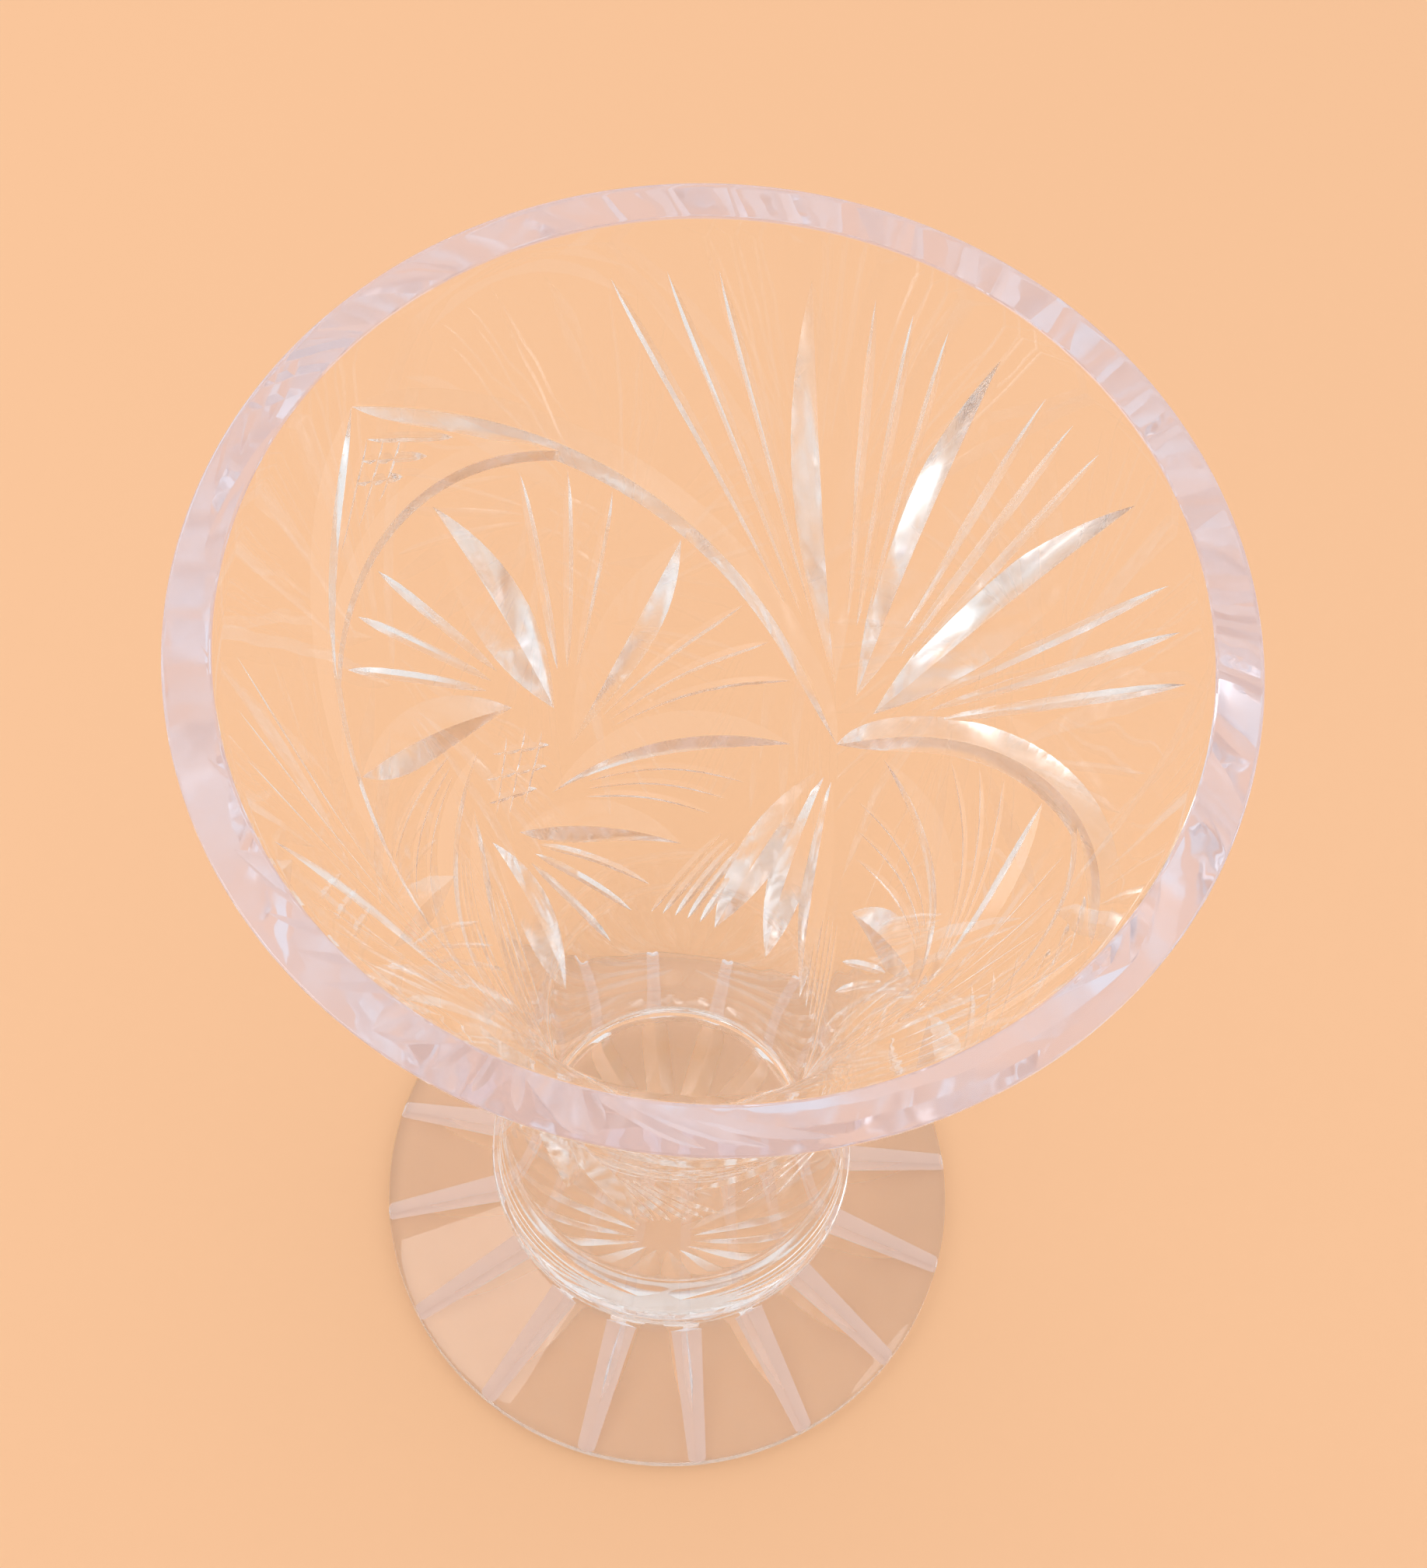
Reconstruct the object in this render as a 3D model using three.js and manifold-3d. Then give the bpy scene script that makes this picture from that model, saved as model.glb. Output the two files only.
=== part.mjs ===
import * as THREE from 'three';
import { LoftGeometry } from 'three/addons/geometries/LoftGeometry.js';
import { mergeVertices } from 'three/addons/utils/BufferGeometryUtils.js';
import Module from 'manifold-3d';

const wasm = await Module();
wasm.setup();

// A cut crystal trumpet vase, standing on z = 0, with its axis on z. Lengths are in millimetres
// and angles in degrees. The two medallions face -y and +y, the two fans face +x and -x.

// Foot
const footRadius = 44.4;
const footEdgeHeight = 2.8;
const footHeight = 19.2;
const footEdgeBevel = 0.6;
const coneTopRadius = 26.2;
const coneTopHeight = 10;
const neckRadius = 24.8;
const neckCurveHeight = 3.4;

// Joining wafer, the flat disc of glass between foot and bowl
const waferRadius = 27.6;
const waferThickness = 2.8;
const waferBevel = 0.5;

// Bowl, outside
const bowlBaseRadius = 26.9;
const bowlBaseLean = -8.3;
const vaseHeight = 188;
const lipRadius = 60;
const lipWall = 5.6;
const lipTilt = 8;
const lipLean = 22.4;

// Bowl, inside
const floorThickness = 5.5;
const floorRadius = 19.6;
const floorCornerRadius = 2.4;
const boreBaseLean = -8.8;
const boreLipLean = 22.1;

// Layout of the cutting: one girdle line carries the medallion centres and the fan centres
const motifPairs = 2;
const girdleHeight = 112.6;
const plainBandBelowLip = 10.5;

// Pointed arches between the motifs, and the arc over each medallion
const archWidth = 6;
const archDepth = 1.9;
const medallionArcRadius = 51.5;
const medallionArcWidth = 4.2;
const medallionArcDepth = 1.2;
const medallionArcSpan = 74;
const hatchCuts = 3;
const hatchSpacing = 2.7;
const hatchGap = 1.2;

// Whirling medallion: leaves set tangent to a small circle, with fine cuts between them
const whirlLeaves = 8;
const whirlAngle = 7;
const whirlRadius = 48;
const whirlDrop = 54;
const whirlOffset = 10.2;
const whirlLeafStart = 3.6;
const whirlLeafWidth = 8.2;
const whirlLeafDepth = 2.4;
const whirlFineStart = 7.2;
const whirlFineOffset = 7.8;
const whirlFineCuts = 3;
const whirlFineFirstAngle = 12.5;
const whirlFineAngle = 8.5;
const whirlGap = 1.6;
const buttonRadius = 7;
const buttonCuts = 3;
const buttonCutSpacing = 3.6;

// Upper fan
const fanLeaves = 3;
const fanLeafAngle = 20.5;
const fanLeafStart = 10;
const fanLeafWidth = 7.8;
const fanLeafDepth = 2.4;
const fanFineCuts = 3;
const fanFineAngle = 4;
const fanFineStart = 21;

// Lower fan, shaped like a fish tail
const tailLeaves = 3;
const tailLeafAngle = 11.5;
const tailLeafStart = 7;
const tailLeafLength = 54;
const tailLeafWidth = 6.6;
const tailLeafDepth = 1.9;
const tailFineCuts = 5;
const tailFineFirstAngle = 14.6;
const tailFineAngle = 2.6;
const tailFineStart = 31;

// Fine cuts
const fineWidth = 1.4;
const fineDepth = 0.6;

// Foot cutting: mitred rays on the cone and a star under the foot
const footRays = 16;
const footRayWidth = 4.4;
const footRayDepth = 1.3;
const footRayEndWidth = 3;
const footRayShoulder = 0.8;
const starRayWidth = 4.4;
const starRayDepth = 1.1;
const starInnerRadius = 3.4;
const starOuterRadius = 37.5;

// How a cutter is carried along: a high fullness keeps its depth level for longer, and the lift is
// how far it reaches above the glass
const cutLift = 1.1;
const fineLift = 0.6;
const leastCutHeight = 0.02;
const runOutStep = 0.5;
const leafPass = { fullness: 2, steps: 6, lift: cutLift };
const bandPass = { fullness: 8, steps: 6, lift: cutLift };
const finePass = { fullness: 4, steps: 3, lift: fineLift };

// Smoothness
const roundSides = 48;
const seamAngle = 2.3;
const outerRings = 9;
const boreRings = 8;
const neckSteps = 4;
const largestCutTurn = 12;
const heightSearchShare = 1e-6;

const radians = THREE.MathUtils.degToRad;
const up = new THREE.Vector3(0, 0, 1);

// Booleans

function toSolid(geometry) {
  const bare = new THREE.BufferGeometry();
  bare.setAttribute('position', geometry.getAttribute('position'));
  bare.setIndex(geometry.getIndex());
  const welded = mergeVertices(bare, 1e-5);
  const corners = welded.getIndex().array;
  const faces = [];
  for (let i = 0; i < corners.length; i += 3) {
    const [a, b, c] = corners.slice(i, i + 3);
    if (a !== b && b !== c && c !== a) {
      faces.push(a, b, c);
    }
  }
  return new wasm.Manifold(new wasm.Mesh({
    numProp: 3,
    vertProperties: new Float32Array(welded.getAttribute('position').array),
    triVerts: new Uint32Array(faces),
  }));
}

function toGeometry(solid) {
  const mesh = solid.getMesh();
  const geometry = new THREE.BufferGeometry();
  geometry.setAttribute('position', new THREE.BufferAttribute(new Float32Array(mesh.vertProperties), 3));
  geometry.setIndex(new THREE.BufferAttribute(new Uint32Array(mesh.triVerts), 1));
  geometry.computeVertexNormals();
  return geometry;
}

function cutAway(blank, cutters) {
  let solid = toSolid(blank);
  for (const cutter of cutters) {
    solid = solid.subtract(toSolid(cutter));
  }
  return toGeometry(solid);
}

// Turned blanks: the outline runs up the outside, from the axis and back to the axis

function turned(outline) {
  const geometry = new THREE.LatheGeometry(outline, roundSides, radians(seamAngle));
  geometry.rotateX(Math.PI / 2);
  return geometry;
}

function leaningCurve(start, startLean, end, endLean) {
  const third = (end.y - start.y) / 3;
  return new THREE.CubicBezierCurve(
    start,
    new THREE.Vector2(start.x + third * Math.tan(radians(startLean)), start.y + third),
    new THREE.Vector2(end.x - third * Math.tan(radians(endLean)), end.y - third),
    end,
  );
}

// Heights that follow from the stack of foot, wafer and bowl
const waferTop = footHeight + waferThickness;
const floorHeight = waferTop + floorThickness;
const lipOuterHeight = vaseHeight - lipWall * Math.sin(radians(lipTilt));
const lipInnerRadius = lipRadius - lipWall * Math.cos(radians(lipTilt));

const outerWall = leaningCurve(
  new THREE.Vector2(bowlBaseRadius, waferTop), bowlBaseLean,
  new THREE.Vector2(lipRadius, lipOuterHeight), lipLean,
);
const boreWall = leaningCurve(
  new THREE.Vector2(floorRadius, floorHeight + floorCornerRadius), boreBaseLean,
  new THREE.Vector2(lipInnerRadius, vaseHeight), boreLipLean,
);

// Places on the outer wall, given by an angle round the axis and a run along the wall from its base

const wallLength = outerWall.getLength();

function wallRadius(run) {
  return outerWall.getPointAt(THREE.MathUtils.clamp(run / wallLength, 0, 1)).x;
}

function runAtHeight(height) {
  let low = 0;
  let high = 1;
  while (high - low > heightSearchShare) {
    const middle = (low + high) / 2;
    if (outerWall.getPointAt(middle).y < height) {
      low = middle;
    } else {
      high = middle;
    }
  }
  return wallLength * low;
}

function wallPlace(angle, run) {
  const share = THREE.MathUtils.clamp(run / wallLength, 0, 1);
  const profile = outerWall.getPointAt(share);
  const slope = outerWall.getTangentAt(share);
  const outward = new THREE.Vector3(Math.cos(angle), Math.sin(angle), 0);
  return {
    point: outward.clone().multiplyScalar(profile.x).setZ(profile.y),
    normal: outward.clone().multiplyScalar(slope.y).setZ(-slope.x),
  };
}

// A motif is drawn flat, x to the left and y up as seen from outside, and laid on the wall
function onWall(motif, x, y) {
  const run = motif.run + y;
  return wallPlace(motif.angle - x / wallRadius(run), run);
}

// The section of a mitred cut: its tip in the glass, its two other corners above the surface
function mitreSection(place, side, height, spread, lift) {
  const full = Math.max(height, leastCutHeight);
  const top = place.point.clone().addScaledVector(place.normal, lift);
  return [
    top.clone().addScaledVector(place.normal, -full),
    top.clone().addScaledVector(side, full * spread),
    top.clone().addScaledVector(side, -full * spread),
  ];
}

// A mitred cut: a triangular section carried along a route on the glass. It is deepest in the
// middle and runs out at both ends.
function mitreCut(route, width, depth, pass) {
  const overrun = (1 + pass.lift / depth) ** (1 / pass.fullness);
  const turn = overrun * route(0).normal.angleTo(route(1).normal);
  const largestStep = Math.min(1, 2 * radians(largestCutTurn) / turn);
  const steps = Math.max(pass.steps, Math.ceil(Math.PI / Math.asin(largestStep)));
  const places = [];
  for (let i = 0; i <= steps; i += 1) {
    const along = overrun * Math.sin(Math.PI * (i / steps - 0.5));
    places.push({ ...route((along + 1) / 2), sink: depth * (1 - Math.abs(along) ** pass.fullness) });
  }
  const sections = places.map((place, i) => {
    const before = places[Math.max(i - 1, 0)].point;
    const after = places[Math.min(i + 1, steps)].point;
    const side = place.normal.clone().cross(after.clone().sub(before)).normalize();
    return mitreSection(place, side, place.sink + pass.lift, width / 2 / depth, pass.lift);
  });
  return new LoftGeometry(sections, { capStart: true, capEnd: true });
}

function straightCut(motif, start, end, width, depth, pass) {
  const route = (t) => onWall(motif, start.x + (end.x - start.x) * t, start.y + (end.y - start.y) * t);
  return mitreCut(route, width, depth, pass);
}

function leafCut(motif, start, end, width, depth) {
  return straightCut(motif, start, end, width, depth, leafPass);
}

function fineCut(motif, start, end) {
  return straightCut(motif, start, end, fineWidth, fineDepth, finePass);
}

// Directions in the drawing are counted from up, positive towards x
function heading(angle) {
  return new THREE.Vector2(Math.sin(radians(angle)), Math.cos(radians(angle)));
}

function sideways(along) {
  return new THREE.Vector2(along.y, -along.x);
}

const girdleRun = runAtHeight(girdleHeight);
const patternTopRun = wallLength - plainBandBelowLip;
const patternRise = patternTopRun - girdleRun;
const motifTurn = Math.PI / motifPairs;

// Arches: straight from each fan centre up to the apex over the next medallion, both ways

function archArm(medallion, hand) {
  const route = (t) => wallPlace(medallion.angle + hand * motifTurn * (1 - t), girdleRun + patternRise * t);
  return mitreCut(route, archWidth, archDepth, bandPass);
}

function medallionArc(medallion) {
  const span = radians(medallionArcSpan);
  const route = (t) => {
    const turn = span * (t - 0.5);
    return onWall(medallion, medallionArcRadius * Math.sin(turn), medallionArcRadius * Math.cos(turn));
  };
  return mitreCut(route, medallionArcWidth, medallionArcDepth, bandPass);
}

// The corner between the arch's apex and the arc is hatched with fine cuts parallel to the arms
function cornerHatch(medallion) {
  const cuts = [];
  const apex = new THREE.Vector2(0, patternRise);
  const reach = motifTurn * wallRadius(patternTopRun);
  const arms = [1, -1].map((hand) => new THREE.Vector2(-hand * reach, -patternRise).normalize());
  const clear = (archWidth / 2 + hatchGap) / Math.abs(arms[0].cross(arms[1]));
  const arcTop = medallionArcRadius + medallionArcWidth / 2 + hatchGap;
  for (const [along, other] of [arms, [...arms].reverse()]) {
    for (let i = 0; i < hatchCuts; i += 1) {
      const start = apex.clone().addScaledVector(along, clear).addScaledVector(other, clear + hatchSpacing * i);
      const end = start.clone().addScaledVector(along, (arcTop - start.y) / along.y);
      cuts.push(fineCut(medallion, start, end));
    }
  }
  return cuts;
}

// Inside of the medallion: under the arch above the girdle, clear of the lower fan below it
function insideMedallion(place) {
  const reach = place.y < 0 ? whirlRadius / whirlDrop : 1;
  if (Math.hypot(place.x, place.y * reach) > whirlRadius) {
    return false;
  }
  const quarter = motifTurn * wallRadius(girdleRun + place.y);
  if (place.y >= 0) {
    const arch = quarter * (1 - place.y / patternRise);
    return Math.abs(place.x) < arch - archWidth / 2 - whirlGap;
  }
  const tailEdge = -place.y * Math.tan(radians(tailFineFirstAngle + tailFineAngle * (tailFineCuts - 1)));
  return Math.abs(place.x) < quarter - tailEdge - fineWidth - whirlGap * 2;
}

function runOut(start, direction) {
  const end = start.clone();
  while (insideMedallion(end)) {
    end.addScaledVector(direction, runOutStep);
  }
  return end;
}

function whirlCuts(medallion) {
  const cuts = [];
  for (let i = 0; i < whirlLeaves; i += 1) {
    const lean = 360 / whirlLeaves * i - whirlAngle;
    const along = heading(lean);
    const across = sideways(along);
    const leafStart = across.clone().multiplyScalar(whirlOffset).addScaledVector(along, whirlLeafStart);
    cuts.push(leafCut(medallion, leafStart, runOut(leafStart, along), whirlLeafWidth, whirlLeafDepth));
    const fineStart = across.clone().multiplyScalar(whirlFineOffset).addScaledVector(along, whirlFineStart);
    for (let j = 0; j < whirlFineCuts; j += 1) {
      const ray = heading(lean - whirlFineFirstAngle - whirlFineAngle * j);
      const start = fineStart.clone().addScaledVector(ray, whirlOffset);
      cuts.push(fineCut(medallion, start, runOut(start, ray)));
    }
  }
  return cuts;
}

// The button in the middle of the whirl is crossed by two sets of fine cuts
function buttonLattice(medallion) {
  const cuts = [];
  for (const slant of [45, -45]) {
    const along = heading(slant - whirlAngle);
    const across = sideways(along);
    for (let i = 0; i < buttonCuts; i += 1) {
      const offset = (i - (buttonCuts - 1) / 2) * buttonCutSpacing;
      const half = Math.sqrt(buttonRadius ** 2 - offset ** 2);
      const middle = across.clone().multiplyScalar(offset);
      const start = middle.clone().addScaledVector(along, -half);
      cuts.push(fineCut(medallion, start, middle.clone().addScaledVector(along, half)));
    }
  }
  return cuts;
}

function rayToHeight(angle, height) {
  return new THREE.Vector2(height * Math.tan(radians(angle)), height);
}

function upperFan(fan) {
  const cuts = [];
  for (let i = 0; i < fanLeaves; i += 1) {
    const angle = (i - (fanLeaves - 1) / 2) * fanLeafAngle;
    const start = heading(angle).multiplyScalar(fanLeafStart);
    cuts.push(leafCut(fan, start, rayToHeight(angle, patternRise), fanLeafWidth, fanLeafDepth));
  }
  for (let i = 0; i <= fanLeaves; i += 1) {
    const middle = (i - fanLeaves / 2) * fanLeafAngle;
    const outer = Math.sign(middle) * Math.max(Math.abs(middle) - fanLeafAngle, 0) / 6;
    for (let j = 0; j < fanFineCuts; j += 1) {
      const angle = middle + outer + (j - (fanFineCuts - 1) / 2) * fanFineAngle;
      const start = heading(angle).multiplyScalar(fanFineStart);
      cuts.push(fineCut(fan, start, rayToHeight(angle, patternRise)));
    }
  }
  return cuts;
}

function lowerFan(fan) {
  const cuts = [];
  for (let i = 0; i < tailLeaves; i += 1) {
    const down = heading(180 + (i - (tailLeaves - 1) / 2) * tailLeafAngle);
    const start = down.clone().multiplyScalar(tailLeafStart);
    const end = down.clone().multiplyScalar(tailLeafLength);
    cuts.push(leafCut(fan, start, end, tailLeafWidth, tailLeafDepth));
  }
  for (const hand of [-1, 1]) {
    for (let i = 0; i < tailFineCuts; i += 1) {
      const down = heading(180 + hand * (tailFineFirstAngle + tailFineAngle * i));
      const start = down.clone().multiplyScalar(tailFineStart);
      cuts.push(fineCut(fan, start, down.clone().multiplyScalar(tailLeafLength)));
    }
  }
  return cuts;
}

function bowlCutters() {
  const cuts = [];
  for (let i = 0; i < motifPairs; i += 1) {
    const medallion = { angle: (2 * i - 1) * motifTurn, run: girdleRun };
    const fan = { angle: 2 * i * motifTurn, run: girdleRun };
    cuts.push(archArm(medallion, 1), archArm(medallion, -1), medallionArc(medallion));
    cuts.push(...cornerHatch(medallion));
    cuts.push(...whirlCuts(medallion), ...buttonLattice(medallion));
    cuts.push(...upperFan(fan), ...lowerFan(fan));
  }
  return cuts;
}

function bowlGeometry() {
  const outside = outerWall.getPoints(outerRings);
  const bore = boreWall.getPoints(boreRings).reverse();
  const corner = new THREE.QuadraticBezierCurve(
    bore[bore.length - 1],
    new THREE.Vector2(floorRadius, floorHeight),
    new THREE.Vector2(floorRadius - floorCornerRadius, floorHeight),
  ).getPoints(3).slice(1);
  const outline = [
    new THREE.Vector2(0, waferTop),
    ...outside,
    ...bore,
    ...corner,
    new THREE.Vector2(0, floorHeight),
  ];
  return cutAway(turned(outline), bowlCutters());
}

function waferGeometry() {
  return turned([
    new THREE.Vector2(0, footHeight),
    new THREE.Vector2(waferRadius - waferBevel, footHeight),
    new THREE.Vector2(waferRadius, footHeight + waferBevel),
    new THREE.Vector2(waferRadius, waferTop - waferBevel),
    new THREE.Vector2(waferRadius - waferBevel, waferTop),
    new THREE.Vector2(0, waferTop),
  ]);
}

// Foot: a short neck under the wafer, then a low cone down to a thin upright edge

const coneTop = new THREE.Vector2(coneTopRadius, coneTopHeight);
const coneEdge = new THREE.Vector2(footRadius, footEdgeHeight);
const coneSlope = coneEdge.clone().sub(coneTop).normalize();

function conePlace(angle, along) {
  const profile = coneTop.clone().lerp(coneEdge, along);
  const outward = new THREE.Vector3(Math.cos(angle), Math.sin(angle), 0);
  return {
    point: outward.clone().multiplyScalar(profile.x).setZ(profile.y),
    normal: outward.clone().multiplyScalar(-coneSlope.y).setZ(coneSlope.x),
  };
}

// A ray on the cone starts beside the neck, is widest there and narrows to the foot's edge
function footRay(angle) {
  const length = coneTop.distanceTo(coneEdge);
  const stations = [
    { along: footRayShoulder / length, share: 0 },
    { along: footRayShoulder * 4 / length, share: 1 },
    { along: 1.15, share: footRayEndWidth / footRayWidth },
  ];
  const radial = new THREE.Vector3(Math.cos(angle), Math.sin(angle), 0);
  const side = up.clone().cross(radial);
  const sections = stations.map(({ along, share }) => {
    const height = share * (footRayDepth + finePass.lift);
    return mitreSection(conePlace(angle, along), side, height, footRayWidth / 2 / footRayDepth, finePass.lift);
  });
  return new LoftGeometry(sections, { capStart: true, capEnd: true });
}

function starRay(angle) {
  const outward = new THREE.Vector3(Math.cos(angle), Math.sin(angle), 0);
  const normal = up.clone().negate();
  const route = (t) => ({
    point: outward.clone().multiplyScalar(starInnerRadius + (starOuterRadius - starInnerRadius) * t),
    normal,
  });
  return mitreCut(route, starRayWidth, starRayDepth, finePass);
}

function footGeometry() {
  const neckFoot = new THREE.QuadraticBezierCurve(
    coneTop,
    new THREE.Vector2(neckRadius, coneTopHeight + (coneTopRadius - neckRadius) * -coneSlope.y / coneSlope.x),
    new THREE.Vector2(neckRadius, coneTopHeight + neckCurveHeight),
  ).getPoints(neckSteps);
  const blank = turned([
    new THREE.Vector2(0, 0),
    new THREE.Vector2(footRadius - footEdgeBevel, 0),
    new THREE.Vector2(footRadius, footEdgeBevel),
    coneEdge,
    ...neckFoot,
    new THREE.Vector2(neckRadius, footHeight),
    new THREE.Vector2(0, footHeight),
  ]);
  const cuts = [];
  for (let i = 0; i < footRays; i += 1) {
    const angle = 2 * Math.PI * i / footRays;
    cuts.push(footRay(angle), starRay(angle));
  }
  return cutAway(blank, cuts);
}

function clearGlass(tint) {
  return new THREE.MeshStandardMaterial({
    color: tint,
    roughness: 0.05,
    metalness: 0,
    transparent: true,
    opacity: 0.35,
    flatShading: true,
  });
}

const bowl = new THREE.Mesh(bowlGeometry(), clearGlass(0xeef1f2));
bowl.name = 'bowl';

const joiningWafer = new THREE.Mesh(waferGeometry(), clearGlass(0xe9eef0));
joiningWafer.name = 'joining_wafer';

const foot = new THREE.Mesh(footGeometry(), clearGlass(0xebeff1));
foot.name = 'foot';

const group = new THREE.Group();
group.name = 'trumpet_vase';
group.add(bowl, joiningWafer, foot);

export default group;
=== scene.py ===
import math

import bpy
import numpy as np
from mathutils import Matrix, Vector


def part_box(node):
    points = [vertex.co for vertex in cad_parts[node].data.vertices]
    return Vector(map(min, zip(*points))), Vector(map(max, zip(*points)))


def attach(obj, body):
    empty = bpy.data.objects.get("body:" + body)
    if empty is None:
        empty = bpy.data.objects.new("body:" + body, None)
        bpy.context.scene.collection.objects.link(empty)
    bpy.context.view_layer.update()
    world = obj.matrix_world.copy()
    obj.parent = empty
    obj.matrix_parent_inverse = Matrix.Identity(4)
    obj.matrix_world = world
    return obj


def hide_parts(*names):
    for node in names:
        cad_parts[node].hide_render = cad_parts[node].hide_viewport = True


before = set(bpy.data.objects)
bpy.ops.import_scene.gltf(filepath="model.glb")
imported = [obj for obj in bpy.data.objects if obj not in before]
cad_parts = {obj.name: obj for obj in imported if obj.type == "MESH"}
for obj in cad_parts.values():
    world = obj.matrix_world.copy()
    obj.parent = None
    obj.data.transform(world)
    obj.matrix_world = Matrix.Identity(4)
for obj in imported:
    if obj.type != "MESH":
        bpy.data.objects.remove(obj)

bpy.context.view_layer.update()

# everything below is in metres and degrees, and z is up
tiny = 1e-6  # points nearer to each other than this are one point
levelGap = 1e-5  # a face nearer to a level than this lies on it
wallGap = 3e-5  # a corner nearer to a wall's curve than this lies on it
insideShare = 0.9999  # each piece stays this little inside its CAD solid


# a node group with named inputs, as kinds and values by label, and named outputs, as kinds by label
def newTree(name, takes, gives, kind="GeometryNodeTree"):
    tree = bpy.data.node_groups.new(name, kind)
    for label, (socketKind, value) in takes.items():
        socket = tree.interface.new_socket(label, in_out="INPUT", socket_type="NodeSocket" + socketKind)
        if value is not None:
            socket.default_value = value
    for label, socketKind in gives.items():
        tree.interface.new_socket(label, in_out="OUTPUT", socket_type="NodeSocket" + socketKind)
    return tree, tree.nodes.new("NodeGroupInput").outputs, tree.nodes.new("NodeGroupOutput").inputs


# a node with its settings made first, and then its inputs set or linked
def addNode(tree, kind, inputs=None, **settings):
    node = tree.nodes.new(kind)
    for label, value in settings.items():
        setattr(node, label, value)
    for label, value in (inputs or {}).items():
        socket = node.inputs[label]
        if isinstance(value, bpy.types.NodeSocket):
            tree.links.new(value, socket)
        else:
            socket.default_value = value
    return node


def maths(tree, operation, first, second=0.0, third=0.0):
    return addNode(tree, "ShaderNodeMath", {0: first, 1: second, 2: third}, operation=operation).outputs[0]


def vectorMaths(tree, operation, *values, output="Vector"):
    return addNode(tree, "ShaderNodeVectorMath", dict(enumerate(values)), operation=operation).outputs[output]


def vector(tree, x=0.0, y=0.0, z=0.0):
    return addNode(tree, "ShaderNodeCombineXYZ", {"X": x, "Y": y, "Z": z}).outputs[0]


def parts(tree, value):
    return addNode(tree, "ShaderNodeSeparateXYZ", {"Vector": value}).outputs


def namedField(tree, name, kind="FLOAT"):
    found = addNode(tree, "GeometryNodeInputNamedAttribute", {"Name": name}, data_type=kind)
    return found.outputs["Attribute"]


# where a whole-number field has a value; sockets 2 and 3 are the node's whole numbers
def whereEqual(tree, field, value):
    settings = {"data_type": "INT", "operation": "EQUAL"}
    return addNode(tree, "FunctionNodeCompare", {2: field, 3: value}, **settings).outputs[0]


# keeps fields with the points of a curve, because sweeping it makes new points
def capture(tree, geometry, fields):
    node = tree.nodes.new("GeometryNodeCaptureAttribute")
    node.domain = "POINT"
    tree.links.new(geometry, node.inputs["Geometry"])
    for label, (kind, field) in fields.items():
        node.capture_items.new(kind, label)
        tree.links.new(field, node.inputs[label])
    return node.outputs["Geometry"], {label: node.outputs[label] for label in fields}


# a place at an angle round the z axis
def aroundAxis(tree, radius, angle, height):
    x = maths(tree, "MULTIPLY", radius, maths(tree, "COSINE", angle))
    y = maths(tree, "MULTIPLY", radius, maths(tree, "SINE", angle))
    return vector(tree, x, y, height)


# turns an outline round the z axis: a line of points with x as radius and z as height
def turningTree():
    tree, takes, gives = newTree(
        "turnedGlass",
        {"Outline": ("Geometry", None), "Segments": ("Int", 224), "Glass": ("Material", None)},
        {"Geometry": "Geometry"},
    )
    outline = takes["Outline"]
    count = addNode(tree, "GeometryNodeAttributeDomainSize", {"Geometry": outline}).outputs["Point Count"]
    columns = maths(tree, "ADD", takes["Segments"], 1)
    grid = addNode(tree, "GeometryNodeMeshGrid", {"Vertices X": columns, "Vertices Y": count}).outputs["Mesh"]
    index = addNode(tree, "GeometryNodeInputIndex").outputs[0]
    column = maths(tree, "FLOOR", maths(tree, "DIVIDE", maths(tree, "ADD", index, 0.5), count))
    ring = maths(tree, "SUBTRACT", index, maths(tree, "MULTIPLY", column, count))
    place = addNode(tree, "GeometryNodeInputPosition").outputs[0]
    sample = addNode(
        tree, "GeometryNodeSampleIndex", {"Geometry": outline, "Value": place, "Index": ring},
        data_type="FLOAT_VECTOR",
    ).outputs["Value"]
    angle = maths(tree, "MULTIPLY", maths(tree, "DIVIDE", column, takes["Segments"]), 2 * math.pi)
    turned = aroundAxis(tree, parts(tree, sample)["X"], angle, parts(tree, sample)["Z"])
    moved = addNode(tree, "GeometryNodeSetPosition", {"Geometry": grid, "Position": turned}).outputs[0]
    welded = addNode(tree, "GeometryNodeMergeByDistance", {"Geometry": moved, "Distance": tiny}).outputs[0]
    real = addNode(tree, "GeometryNodeRealizeInstances", {"Geometry": welded}).outputs[0]
    coated = addNode(tree, "GeometryNodeSetMaterial", {"Geometry": real, "Material": takes["Glass"]})
    tree.links.new(coated.outputs[0], gives["Geometry"])
    return tree


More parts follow.
